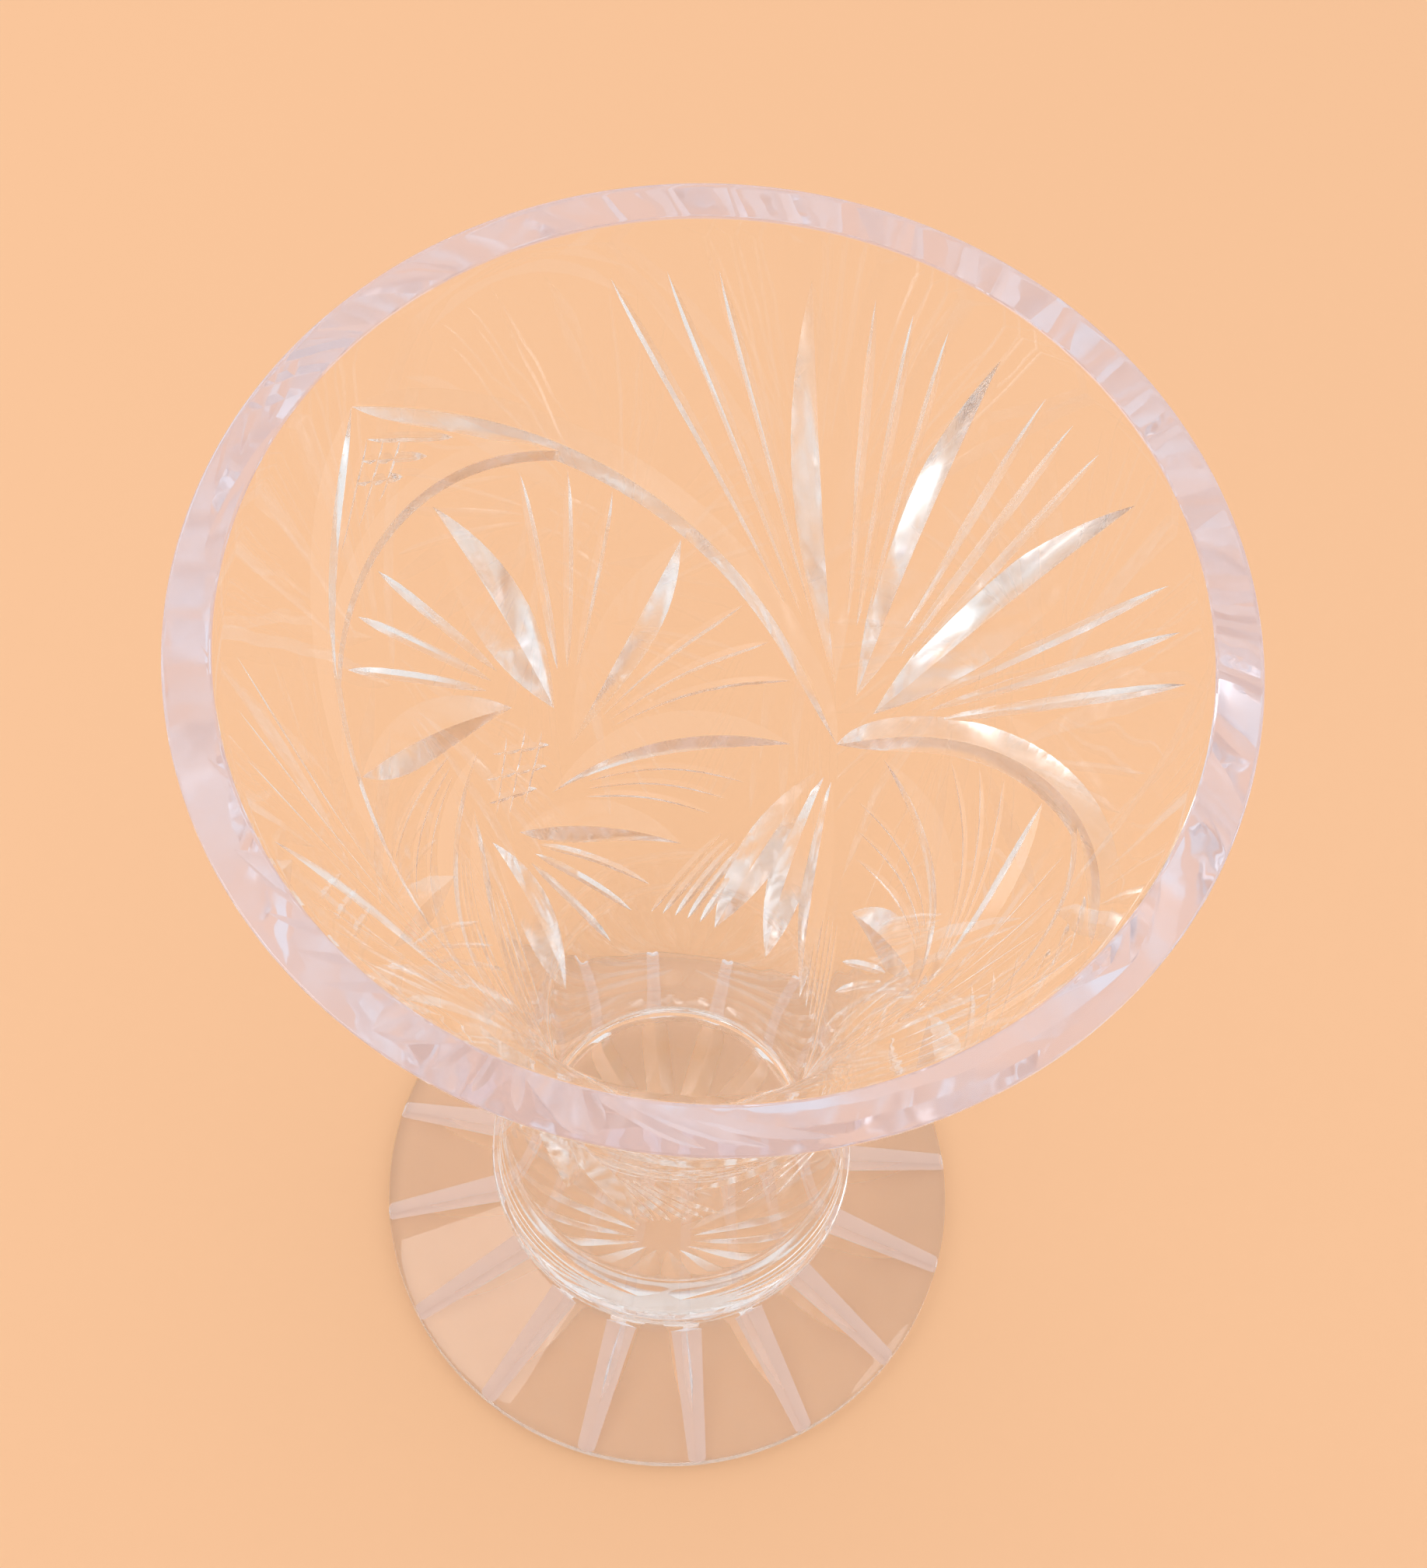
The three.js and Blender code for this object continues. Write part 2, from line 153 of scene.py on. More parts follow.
# a place on a wall, from the drawing's two directions and the height above the glass; a wall is a line
# of radius and height that runs upwards or outwards, because its right-hand side is out of the glass
def wallPlaceTree():
    tree, takes, gives = newTree(
        "wallPlace",
        {
            "Wall": ("Geometry", None), "Motif Angle": ("Float", 0.0), "Girdle Run": ("Float", 0.09),
            "Across": ("Float", 0.0), "Up": ("Float", 0.0), "Above": ("Float", 0.0),
        },
        {"Position": "Vector"},
    )
    run = maths(tree, "ADD", takes["Girdle Run"], takes["Up"])
    wall = addNode(
        tree, "GeometryNodeSampleCurve", {"Curves": takes["Wall"], "Length": run},
        mode="LENGTH", use_all_curves=True,
    ).outputs
    place, slope = parts(tree, wall["Position"]), parts(tree, wall["Tangent"])
    turn = maths(tree, "DIVIDE", takes["Across"], place["X"])
    angle = maths(tree, "SUBTRACT", takes["Motif Angle"], turn)
    radius = maths(tree, "MULTIPLY_ADD", slope["Z"], takes["Above"], place["X"])
    height = maths(tree, "SUBTRACT", place["Z"], maths(tree, "MULTIPLY", slope["X"], takes["Above"]))
    tree.links.new(aroundAxis(tree, radius, angle, height), gives["Position"])
    return tree


# carries a mitred section along every stroke of one kind, as deep at each point as the stroke says; the
# section is never lower than least, so that it doesn't close up where a cut runs out
def mitreTree(wallPlace, least=2e-5):
    tree, takes, gives = newTree(
        "mitreCuts",
        {
            "Drawing": ("Geometry", None), "Kind": ("Int", 0),
            "Wall": ("Geometry", None), "Girdle Run": ("Float", 0.09),
            "Width": ("Float", 0.004), "Depth": ("Float", 0.001), "Lift": ("Float", 0.001),
        },
        {"Mesh": "Geometry"},
    )
    same = whereEqual(tree, namedField(tree, "kind", "INT"), takes["Kind"])
    curve = addNode(tree, "GeometryNodeMeshToCurve", {"Mesh": takes["Drawing"], "Selection": same}).outputs[0]
    curve, stroke = capture(
        tree, curve,
        {
            "Centre": ("VECTOR", addNode(tree, "GeometryNodeInputPosition").outputs[0]),
            "Heading": ("VECTOR", addNode(tree, "GeometryNodeInputTangent").outputs[0]),
            "Share": ("FLOAT", namedField(tree, "depthShare")),
            "Motif Angle": ("FLOAT", namedField(tree, "motifAngle")),
        },
    )
    # any three corners do for the section, because each is put in its place below
    section = addNode(tree, "GeometryNodeCurvePrimitiveCircle", {"Resolution": 3, "Radius": 0.001})
    number = addNode(tree, "GeometryNodeInputIndex").outputs[0]
    section, corner = capture(tree, section.outputs["Curve"], {"Corner": ("INT", number)})
    swept = addNode(
        tree, "GeometryNodeCurveToMesh", {"Curve": curve, "Profile Curve": section, "Fill Caps": True}
    ).outputs[0]

    # corner 0, the tip, goes down into the glass, and 1 and 2, left and right, stand clear above it
    sink = maths(tree, "MULTIPLY", takes["Depth"], stroke["Share"])
    full = maths(tree, "MAXIMUM", maths(tree, "ADD", sink, takes["Lift"]), least)
    left, right = (maths(tree, "COMPARE", corner["Corner"], index, 0.1) for index in (1.0, 2.0))
    tip = maths(tree, "SUBTRACT", 1.0, maths(tree, "ADD", left, right))
    spread = maths(tree, "DIVIDE", maths(tree, "DIVIDE", takes["Width"], 2.0), takes["Depth"])
    side = maths(tree, "SUBTRACT", right, left)
    aside = maths(tree, "MULTIPLY", side, maths(tree, "MULTIPLY", full, spread))
    centre, heading = parts(tree, stroke["Centre"]), parts(tree, stroke["Heading"])
    position = addNode(tree, "GeometryNodeGroup", {
        "Wall": takes["Wall"],
        "Motif Angle": stroke["Motif Angle"],
        "Girdle Run": takes["Girdle Run"],
        "Across": maths(tree, "SUBTRACT", centre["X"], maths(tree, "MULTIPLY", heading["Y"], aside)),
        "Up": maths(tree, "ADD", centre["Y"], maths(tree, "MULTIPLY", heading["X"], aside)),
        "Above": maths(tree, "SUBTRACT", takes["Lift"], maths(tree, "MULTIPLY", tip, full)),
    }, node_tree=wallPlace).outputs["Position"]
    laid = addNode(tree, "GeometryNodeSetPosition", {"Geometry": swept, "Position": position})
    tree.links.new(laid.outputs[0], gives["Mesh"])
    return tree


mitreCuts, turning = mitreTree(wallPlaceTree()), turningTree()


# sweeps the drawing's strokes kind by kind, and marks the faces with the finish that each leaves
def sweepKinds(tree, takes, kinds):
    drawing = addNode(tree, "GeometryNodeObjectInfo", {"Object": takes["Drawing"]}).outputs["Geometry"]
    cutters = tree.nodes.new("GeometryNodeJoinGeometry")
    for number, (label, finish, values) in enumerate(kinds):
        sizes = {"Width": takes[label + " Width"], "Depth": takes[label + " Depth"]}
        swept = addNode(
            tree, "GeometryNodeGroup", {"Drawing": drawing, "Kind": number, **sizes, **values},
            node_tree=mitreCuts,
        ).outputs["Mesh"]
        marked = addNode(
            tree, "GeometryNodeStoreNamedAttribute",
            {"Geometry": swept, "Name": "cutFinish", "Value": finish}, data_type="INT", domain="FACE",
        ).outputs[0]
        tree.links.new(marked, cutters.inputs[0])
    return cutters.outputs[0]


def repeatRound(tree, geometry, count):
    points = addNode(tree, "GeometryNodePoints", {"Count": count}).outputs[0]
    index = addNode(tree, "GeometryNodeInputIndex").outputs[0]
    turn = maths(tree, "MULTIPLY", maths(tree, "DIVIDE", index, count), 2 * math.pi)
    rotation = addNode(tree, "FunctionNodeEulerToRotation", {"Euler": vector(tree, z=turn)}).outputs[0]
    return addNode(
        tree, "GeometryNodeInstanceOnPoints", {"Points": points, "Instance": geometry, "Rotation": rotation}
    ).outputs[0]


# every cutter is its own instance here, so that cutters which cross are taken away one by one
def takeAway(tree, blank, cutters):
    solid = addNode(tree, "GeometryNodeRealizeInstances", {"Geometry": cutters}).outputs[0]
    island = addNode(tree, "GeometryNodeInputMeshIsland").outputs["Island Index"]
    separate = addNode(
        tree, "GeometryNodeSplitToInstances", {"Geometry": solid, "Group ID": island}, domain="FACE"
    ).outputs["Instances"]
    cut = addNode(
        tree, "GeometryNodeMeshBoolean", {"Mesh 1": blank, "Mesh 2": separate},
        operation="DIFFERENCE", solver="MANIFOLD",
    ).outputs["Mesh"]
    clean = addNode(tree, "GeometryNodeMergeByDistance", {"Geometry": cut, "Distance": tiny}).outputs[0]
    return addNode(tree, "GeometryNodeRealizeInstances", {"Geometry": clean}).outputs[0]


def finishFaces(tree, geometry, finishes):
    for number, finish in enumerate(finishes):
        chosen = whereEqual(tree, namedField(tree, "cutFinish", "INT"), number)
        geometry = addNode(
            tree, "GeometryNodeSetMaterial", {"Geometry": geometry, "Selection": chosen, "Material": finish}
        ).outputs[0]
    return geometry


# adds a tree to an object, with its inputs set by their sockets' identifiers
def addTree(blank, name, tree, values):
    modifier = blank.modifiers.new(name, "NODES")
    modifier.node_group = tree
    sockets = {item.name: item.identifier for item in tree.interface.items_tree if item.in_out == "INPUT"}
    for label, value in values.items():
        modifier[sockets[label]] = value


def newObject(name, data):
    item = bpy.data.objects.new(name, data)
    bpy.context.scene.collection.objects.link(item)
    return item


def turnedBlank(name, outline, segments, glass):
    mesh = bpy.data.meshes.new(name)
    mesh.from_pydata([(r, 0.0, z) for r, z in outline], [(i, i + 1) for i in range(len(outline) - 1)], [])
    blank = newObject(name, mesh)
    addTree(blank, "turned", turning, {"Segments": segments, "Glass": glass})
    return blank


drawingMarks = {"kind": "INT", "depthShare": "FLOAT", "motifAngle": "FLOAT"}


# the strokes as lines of points that carry their kind, their share of the depth and their motif's angle
def drawingObject(name, strokes):
    places, edges, marks = [], [], {label: [] for label in drawingMarks}
    for stroke in strokes:
        first = len(places)
        places += [(x, y, 0.0) for x, y in stroke["points"]]
        edges += [(i, i + 1) for i in range(first, len(places) - 1)]
        marks["kind"] += [stroke["kind"]] * len(stroke["points"])
        marks["depthShare"] += stroke["shares"]
        marks["motifAngle"] += [stroke["motif"]] * len(stroke["points"])
    mesh = bpy.data.meshes.new(name)
    mesh.from_pydata(places, edges, [])
    for label, kind in drawingMarks.items():
        mesh.attributes.new(label, kind, "POINT").data.foreach_set("value", marks[label])
    return newObject(name, mesh)


# a blank's finished mesh as a piece, without the empty material slot and the marks left from the cutting
def plainMesh(blank, name):
    depsgraph = bpy.context.evaluated_depsgraph_get()
    mesh = bpy.data.meshes.new_from_object(blank.evaluated_get(depsgraph), depsgraph=depsgraph)
    mesh.name = name
    if mesh.materials[0] is None:
        mesh.materials.pop(index=0)
    for label in [*drawingMarks, "cutFinish"]:
        if label in mesh.attributes:
            mesh.attributes.remove(mesh.attributes[label])
    bpy.data.objects.remove(blank)
    return newObject(name, mesh)


# a curve from start to end that leans outwards from the vertical by the two angles
def leaningCurve(start, startLean, end, endLean, count):
    third = (end[1] - start[1]) / 3
    first = np.array([start[0] + third * math.tan(math.radians(startLean)), start[1] + third])
    second = np.array([end[0] - third * math.tan(math.radians(endLean)), end[1] - third])
    t = np.linspace(0, 1, count + 1)[:, None]
    near, far = (1 - t) ** 3 * np.array(start), t ** 3 * np.array(end)
    return near + 3 * (1 - t) ** 2 * t * first + 3 * (1 - t) * t ** 2 * second + far


# a curve that leaves start towards the corner and comes into end from it
def bend(start, corner, end, steps):
    start, corner, end = (np.array(p, float) for p in (start, corner, end))
    t = np.linspace(0, 1, steps + 1)[:, None]
    return list((1 - t) ** 2 * start + 2 * t * (1 - t) * corner + t ** 2 * end)


def roundedCorner(before, corner, after, size, steps=4):
    before, corner, after = (np.array(p, float) for p in (before, corner, after))
    start = corner + (before - corner) / np.linalg.norm(before - corner) * size
    end = corner + (after - corner) / np.linalg.norm(after - corner) * size
    return bend(start, corner, end, steps)


# points in a level row, from one radius to another
def level(start, end, height, count):
    return [(r, height) for r in np.linspace(start, end, count)]


# a direction in the drawing, turned to the right from straight up
def heading(angle):
    return np.array([math.sin(math.radians(angle)), math.cos(math.radians(angle))])


# how far along a cut each of its points lies, from -1 to 1 and a little past both ends, where the
# cutter runs out above the glass; the points stand closer together at the ends
def lensPlaces(cut, lift):
    overrun = (1 + lift / cut["depth"]) ** (1 / cut["fullness"])
    return [overrun * math.sin(math.pi * (i / cut["steps"] - 0.5)) for i in range(cut["steps"] + 1)]


# the share of the full depth that a cut has at each of those points
def lensShares(cut, places):
    return [1 - abs(place) ** cut["fullness"] for place in places]


# slow waves left by hand polishing, as a height
def polishGroup():
    group, takes, gives = newTree(
        "polishWaves", {"Wave Scale": ("Float", 90.0)}, {"Height": "Float"}, "ShaderNodeTree"
    )
    place = addNode(group, "ShaderNodeTexCoord").outputs["Object"]
    values = {"Vector": place, "Scale": takes["Wave Scale"], "Detail": 1.0}
    group.links.new(addNode(group, "ShaderNodeTexNoise", values).outputs[0], gives["Height"])
    return group


# small worn spots and chips, 1 where the glass is rougher
def wearGroup():
    group, takes, gives = newTree(
        "wornSpots",
        {"Spot Scale": ("Float", 700.0), "Amount": ("Float", 0.35), "Softness": ("Float", 0.12)},
        {"Mask": "Float"}, "ShaderNodeTree",
    )
    place = addNode(group, "ShaderNodeTexCoord").outputs["Object"]
    values = {"Vector": place, "Scale": takes["Spot Scale"], "Detail": 4.0}
    spot = addNode(group, "ShaderNodeTexNoise", values).outputs[0]
    low = maths(group, "SUBTRACT", 1.0, takes["Amount"])
    high = maths(group, "ADD", low, takes["Softness"])
    mask = addNode(group, "ShaderNodeMapRange", {"Value": spot, "From Min": low, "From Max": high})
    group.links.new(mask.outputs[0], gives["Mask"])
    return group


polishWaves, wornSpots = polishGroup(), wearGroup()

# smooth and worn are the roughness beside the worn spots and on them, and a larger scale makes smaller ones
glassLooks = {
    "wallGlass": {
        "tint": (1.0, 1.0, 1.0), "clear": 1.0, "smooth": 0.0, "worn": 0.03,
        "spotScale": 700.0, "amount": 0.32, "softness": 0.12, "waves": 0.05, "waveScale": 60.0,
    },
    "cutGlass": {
        "tint": (1.0, 1.0, 1.0), "clear": 1.0, "smooth": 0.1, "worn": 0.18,
        "spotScale": 400.0, "amount": 0.5, "softness": 0.3, "waves": 0.02, "waveScale": 120.0,
    },
    "fineCutGlass": {
        "tint": (1.0, 0.99, 0.98), "clear": 1.0, "smooth": 0.12, "worn": 0.2,
        "spotScale": 500.0, "amount": 0.5, "softness": 0.4, "waves": 0.02, "waveScale": 300.0,
    },
    "lipGlass": {  # ground flat, and left a little milky; its mauve tint is painted reflection of a lilac light
        "tint": (0.82, 0.74, 0.87), "clear": 0.75, "smooth": 0.03, "worn": 0.15,
        "spotScale": 250.0, "amount": 0.55, "softness": 0.4, "waves": 0.08, "waveScale": 200.0,
    },
    # painted reflection: the lilac tint and the share that isn't clear give the rays a pale lilac sheen
    "rayGlass": {
        "tint": (0.98, 0.94, 1.0), "clear": 0.76, "smooth": 0.12, "worn": 0.25,
        "spotScale": 500.0, "amount": 0.5, "softness": 0.3, "waves": 0.04, "waveScale": 200.0,
    },
    "tooledGlass": {  # shaped hot, with the marks of the tools
        "tint": (1.0, 0.98, 0.98), "clear": 1.0, "smooth": 0.0, "worn": 0.05,
        "spotScale": 300.0, "amount": 0.4, "softness": 0.3, "waves": 0.15, "waveScale": 160.0,
    },
    "groundGlass": {  # the underside, ground flat and scratched by standing
        "tint": (1.0, 0.99, 0.98), "clear": 0.96, "smooth": 0.35, "worn": 0.5,
        "spotScale": 300.0, "amount": 0.5, "softness": 0.3, "waves": 0.02, "waveScale": 400.0,
    },
}
glassShared = {"ior": 1.54, "shadowTint": 0.9, "waveHeight": 0.001}


def glassMaterial(name, looks):
    material = bpy.data.materials.new(name)
    material.use_nodes = True
    tree = material.node_tree
    tree.nodes.clear()
    wave = addNode(tree, "ShaderNodeGroup", {"Wave Scale": looks["waveScale"]}, node_tree=polishWaves)
    worn = addNode(
        tree, "ShaderNodeGroup",
        {"Spot Scale": looks["spotScale"], "Amount": looks["amount"], "Softness": looks["softness"]},
        node_tree=wornSpots,
    )
    roughness = addNode(
        tree, "ShaderNodeMapRange",
        {"Value": worn.outputs["Mask"], "To Min": looks["smooth"], "To Max": looks["worn"]},
    ).outputs[0]
    bump = addNode(
        tree, "ShaderNodeBump",
        {"Strength": looks["waves"], "Distance": glassShared["waveHeight"], "Height": wave.outputs["Height"]},
    ).outputs[0]
    glass = addNode(
        tree, "ShaderNodeBsdfPrincipled",
        {
            "Base Color": (*looks["tint"], 1.0), "Roughness": roughness, "Normal": bump,
            "IOR": glassShared["ior"], "Transmission Weight": looks["clear"], "Metallic": 0.0,
        },
    ).outputs[0]
    shade = (*[glassShared["shadowTint"]] * 3, 1.0)
    through = addNode(tree, "ShaderNodeBsdfTransparent", {"Color": shade}).outputs[0]
    shadow = addNode(tree, "ShaderNodeLightPath").outputs["Is Shadow Ray"]
    mixed = addNode(tree, "ShaderNodeMixShader", {0: shadow, 1: glass, 2: through}).outputs[0]
    tree.links.new(mixed, addNode(tree, "ShaderNodeOutputMaterial").inputs["Surface"])
    return material


def plainMaterial(name, values):
    material = bpy.data.materials.new(name)
    material.use_nodes = True
    for label, value in values.items():
        material.node_tree.nodes["Principled BSDF"].inputs[label].default_value = value
    return material


materials = {name: glassMaterial(name, looks) for name, looks in glassLooks.items()}
fusedFace = plainMaterial("fusedFace", {"Alpha": 0.0, "Specular IOR Level": 0.0})  # fused glass has no seam
print("finishes made:", len(materials) + 1)


# the cut crystal bowl: its outer and inner walls are single leaning curves, and its cuts are drawn flat
# round the middle of each motif
bowlSizes = {
    "baseRadius": 0.0268,
    "baseLean": -8.3,  # leans are outwards from the vertical
    "lipLean": 22.4,
    "lipWall": 0.0056,
    "lipTilt": 8.0,
    "lipSoftness": 0.0004,
    "floorThickness": 0.0055,
    "floorRadius": 0.0196,
    "floorCorner": 0.0024,
    "boreBaseLean": -8.8,
    "boreLipLean": 22.1,
    "segments": 224,
    "rings": {"base": 12, "wall": 120, "bore": 70, "corner": 7, "floor": 9},
    "cuts": {
        "pairs": 2,  # a fan and a medallion each
        "girdleHeight": 0.1126,
        "plainBand": 0.0105,  # between the pattern and the lip
        "lift": 0.0008,  # how far the cutters stand out of the glass
        # the fuller a cut, the nearer to its ends it keeps its depth
        "arch": {"width": 0.006, "depth": 0.0019, "fullness": 8.0, "steps": 64},
        "arc": {"width": 0.0042, "depth": 0.0012, "fullness": 8.0, "steps": 48},
        "leaf": {"width": 0.0082, "depth": 0.0024, "fullness": 2.0, "steps": 26},
        "tail": {"width": 0.0066, "depth": 0.0019, "fullness": 2.0, "steps": 26},
        "fine": {"width": 0.0014, "depth": 0.0006, "fullness": 4.0, "steps": 16},
        "arcRadius": 0.0515,
        "arcSpan": 74.0,
        "hatch": {"cuts": 3, "spacing": 0.0027, "gap": 0.0012},
        "whirl": {
            "leaves": 8, "lean": 7.0, "radius": 0.048, "drop": 0.054, "gap": 0.0016,
            "offset": 0.0102, "leafStart": 0.0036, "fineOffset": 0.0078, "fineStart": 0.0072,
            "fineCuts": 3, "fineFirst": 12.5, "fineStep": 8.5,
        },
        "button": {"radius": 0.007, "cuts": 3, "spacing": 0.0036, "slant": 45.0},
        "fan": {
            "leaves": 3, "leafStep": 20.5, "leafStart": 0.010,
            "fineCuts": 3, "fineStep": 4.0, "fineStart": 0.021, "outerPush": 1 / 6,
        },
        "fishTail": {
            "leaves": 3, "leafStep": 11.5, "leafStart": 0.007, "length": 0.054,
            "fineCuts": 5, "fineFirst": 14.6, "fineStep": 2.6, "fineStart": 0.031,
        },
    },
}
cutSizes = bowlSizes["cuts"]
cutKinds = ["arch", "arc", "leaf", "tail", "fine"]


def radiusInside(node):
    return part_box(node)[1].x * insideShare


bowlBox, waferBox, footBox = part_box("bowl"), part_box("joining_wafer"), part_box("foot")
baseHeight, vaseHeight, lipRadius = bowlBox[0].z, bowlBox[1].z, radiusInside("bowl")
tilt = math.radians(bowlSizes["lipTilt"])
lipHeight = vaseHeight - bowlSizes["lipWall"] * math.sin(tilt)
lipInner = lipRadius - bowlSizes["lipWall"] * math.cos(tilt)
floorHeight = baseHeight + bowlSizes["floorThickness"]


def outerCurve(count):
    base, lip = (bowlSizes["baseRadius"], baseHeight), (lipRadius, lipHeight)
    return leaningCurve(base, bowlSizes["baseLean"], lip, bowlSizes["lipLean"], count)


outerWall = outerCurve(4000)  # fine enough to measure how far a height is up the wall
wallRuns = np.concatenate([[0], np.cumsum(np.hypot(*np.diff(outerWall, axis=0).T))])
girdleRun = float(np.interp(cutSizes["girdleHeight"], outerWall[:, 1], wallRuns))
patternRise = wallRuns[-1] - cutSizes["plainBand"] - girdleRun
motifTurn = math.pi / cutSizes["pairs"]


def wallRadius(run):
    return np.interp(run, wallRuns, outerWall[:, 0])


# from the middle of the base out, up the wall, over the lip, down the bore and in across its floor
def bowlOutline():
    rings, soft, corner = bowlSizes["rings"], bowlSizes["lipSoftness"], bowlSizes["floorCorner"]
    boreFoot = (bowlSizes["floorRadius"], floorHeight + corner)
    floorEdge = (boreFoot[0] - corner, floorHeight)
    base = level(0, bowlSizes["baseRadius"], baseHeight, rings["base"])[:-1]
    wall = outerCurve(rings["wall"])
    bore = leaningCurve(
        boreFoot, bowlSizes["boreBaseLean"], (lipInner, vaseHeight), bowlSizes["boreLipLean"], rings["bore"]
    )[::-1]
    lip = roundedCorner(wall[-2], wall[-1], bore[0], soft) + roundedCorner(wall[-1], bore[0], bore[1], soft)
    turn = bend(boreFoot, (boreFoot[0], floorHeight), floorEdge, rings["corner"])[1:]
    floor = level(floorEdge[0], 0, floorHeight, rings["floor"])[1:]
    return [tuple(p) for p in [*base, *wall[:-1], *lip, *bore[1:], *turn, *floor]]


# whether a place in the drawing is on the medallion, between the arch's arms and the fish tails
def insideMedallion(x, y):
    whirl, tail = cutSizes["whirl"], cutSizes["fishTail"]
    squash = whirl["radius"] / whirl["drop"] if y < 0 else 1
    if math.hypot(x, y * squash) > whirl["radius"]:
        return False
    quarter = motifTurn * wallRadius(girdleRun + y)
    if y >= 0:
        return abs(x) < quarter * (1 - y / patternRise) - cutSizes["arch"]["width"] / 2 - whirl["gap"]
    edge = -y * math.tan(math.radians(tail["fineFirst"] + tail["fineStep"] * (tail["fineCuts"] - 1)))
    return abs(x) < quarter - edge - cutSizes["fine"]["width"] - whirl["gap"] * 2


def runOut(start, direction, step=0.0002):
    end = np.array(start)
    while insideMedallion(*end):
        end = end + direction * step
    return end


def straight(kind, start, end, motif):
    start, end = np.array(start), np.array(end)
    return {"kind": kind, "motif": motif, "route": lambda t: start + (end - start) * t}


# fine cuts parallel to the two arms, in the corner between the apex and the arc
def cornerHatch(motif):
    hatch, reach = cutSizes["hatch"], motifTurn * wallRadius(girdleRun + patternRise)
    arms = [np.array([-hand * reach, -patternRise]) / math.hypot(reach, patternRise) for hand in (1, -1)]
    crossing = abs(arms[0][0] * arms[1][1] - arms[0][1] * arms[1][0])
    clear = (cutSizes["arch"]["width"] / 2 + hatch["gap"]) / crossing
    arcTop = cutSizes["arcRadius"] + cutSizes["arc"]["width"] / 2 + hatch["gap"]
    strokes = []
    for along, other in (arms, arms[::-1]):
        for i in range(hatch["cuts"]):
            start = np.array([0, patternRise]) + along * clear + other * (clear + hatch["spacing"] * i)
            strokes.append(straight("fine", start, start + along * (arcTop - start[1]) / along[1], motif))
    return strokes


# the pointed arch's two arms, the arc, the whirl of leaves with fine cuts between, and the button
def medallionStrokes():
    strokes, whirl, button, arc = [], cutSizes["whirl"], cutSizes["button"], cutSizes["arcRadius"]
    motif, span = -motifTurn, math.radians(cutSizes["arcSpan"])
    for hand in (1, -1):
        def arm(t, hand=hand):
            reach = motifTurn * (1 - t) * wallRadius(girdleRun + patternRise * t)
            return np.array([-hand * reach, patternRise * t])
        strokes.append({"kind": "arch", "motif": motif, "route": arm})
    strokes.append({
        "kind": "arc", "motif": motif,
        "route": lambda t: arc * np.array([math.sin(span * (t - 0.5)), math.cos(span * (t - 0.5))]),
    })
    strokes += cornerHatch(motif)
    for i in range(whirl["leaves"]):
        lean = 360 / whirl["leaves"] * i - whirl["lean"]
        along, across = heading(lean), heading(lean + 90)
        start = across * whirl["offset"] + along * whirl["leafStart"]
        strokes.append(straight("leaf", start, runOut(start, along), motif))
        hub = across * whirl["fineOffset"] + along * whirl["fineStart"]
        for j in range(whirl["fineCuts"]):
            ray = heading(lean - whirl["fineFirst"] - whirl["fineStep"] * j)
            start = hub + ray * whirl["offset"]
            strokes.append(straight("fine", start, runOut(start, ray), motif))
    for slant in (button["slant"], -button["slant"]):
        along, across = heading(slant - whirl["lean"]), heading(slant - whirl["lean"] + 90)
        for i in range(button["cuts"]):
            middle = across * (i - (button["cuts"] - 1) / 2) * button["spacing"]
            half = along * math.sqrt(button["radius"] ** 2 - middle @ middle)
            strokes.append(straight("fine", middle - half, middle + half, motif))
    return strokes


# the upper fan and the fish tail below it, which meet at the girdle between two medallions
def fanStrokes():
    strokes, fan, tail = [], cutSizes["fan"], cutSizes["fishTail"]

    def toTop(angle):
        return np.array([patternRise * math.tan(math.radians(angle)), patternRise])

    for i in range(fan["leaves"]):
        angle = (i - (fan["leaves"] - 1) / 2) * fan["leafStep"]
        strokes.append(straight("leaf", heading(angle) * fan["leafStart"], toTop(angle), 0.0))
    for i in range(fan["leaves"] + 1):
        middle = (i - fan["leaves"] / 2) * fan["leafStep"]
        push = math.copysign(max(abs(middle) - fan["leafStep"], 0) * fan["outerPush"], middle)
        for j in range(fan["fineCuts"]):
            angle = middle + push + (j - (fan["fineCuts"] - 1) / 2) * fan["fineStep"]
            strokes.append(straight("fine", heading(angle) * fan["fineStart"], toTop(angle), 0.0))
    for i in range(tail["leaves"]):
        down = heading(180 + (i - (tail["leaves"] - 1) / 2) * tail["leafStep"])
        strokes.append(straight("tail", down * tail["leafStart"], down * tail["length"], 0.0))
    for hand in (-1, 1):
        for i in range(tail["fineCuts"]):
            down = heading(180 + hand * (tail["fineFirst"] + tail["fineStep"] * i))
            strokes.append(straight("fine", down * tail["fineStart"], down * tail["length"], 0.0))
    return strokes


# a stroke's points and the depth at each, run on straight where the cut passes the ends of its route
def lensStroke(stroke, fineness=1000):
    cut, route = cutSizes[stroke["kind"]], stroke["route"]
    places = lensPlaces(cut, cutSizes["lift"])
    start, end = route(0.0), route(1.0)
    startSlope = (route(1 / fineness) - start) * fineness
    endSlope = (end - route(1 - 1 / fineness)) * fineness
    points = []
    for t in ((place + 1) / 2 for place in places):
        if t < 0:
            points.append(start + startSlope * t)
        elif t > 1:
            points.append(end + endSlope * (t - 1))
        else:
            points.append(route(t))
    kind, shares = cutKinds.index(stroke["kind"]), lensShares(cut, places)
    return {"kind": kind, "motif": stroke["motif"], "points": points, "shares": shares}


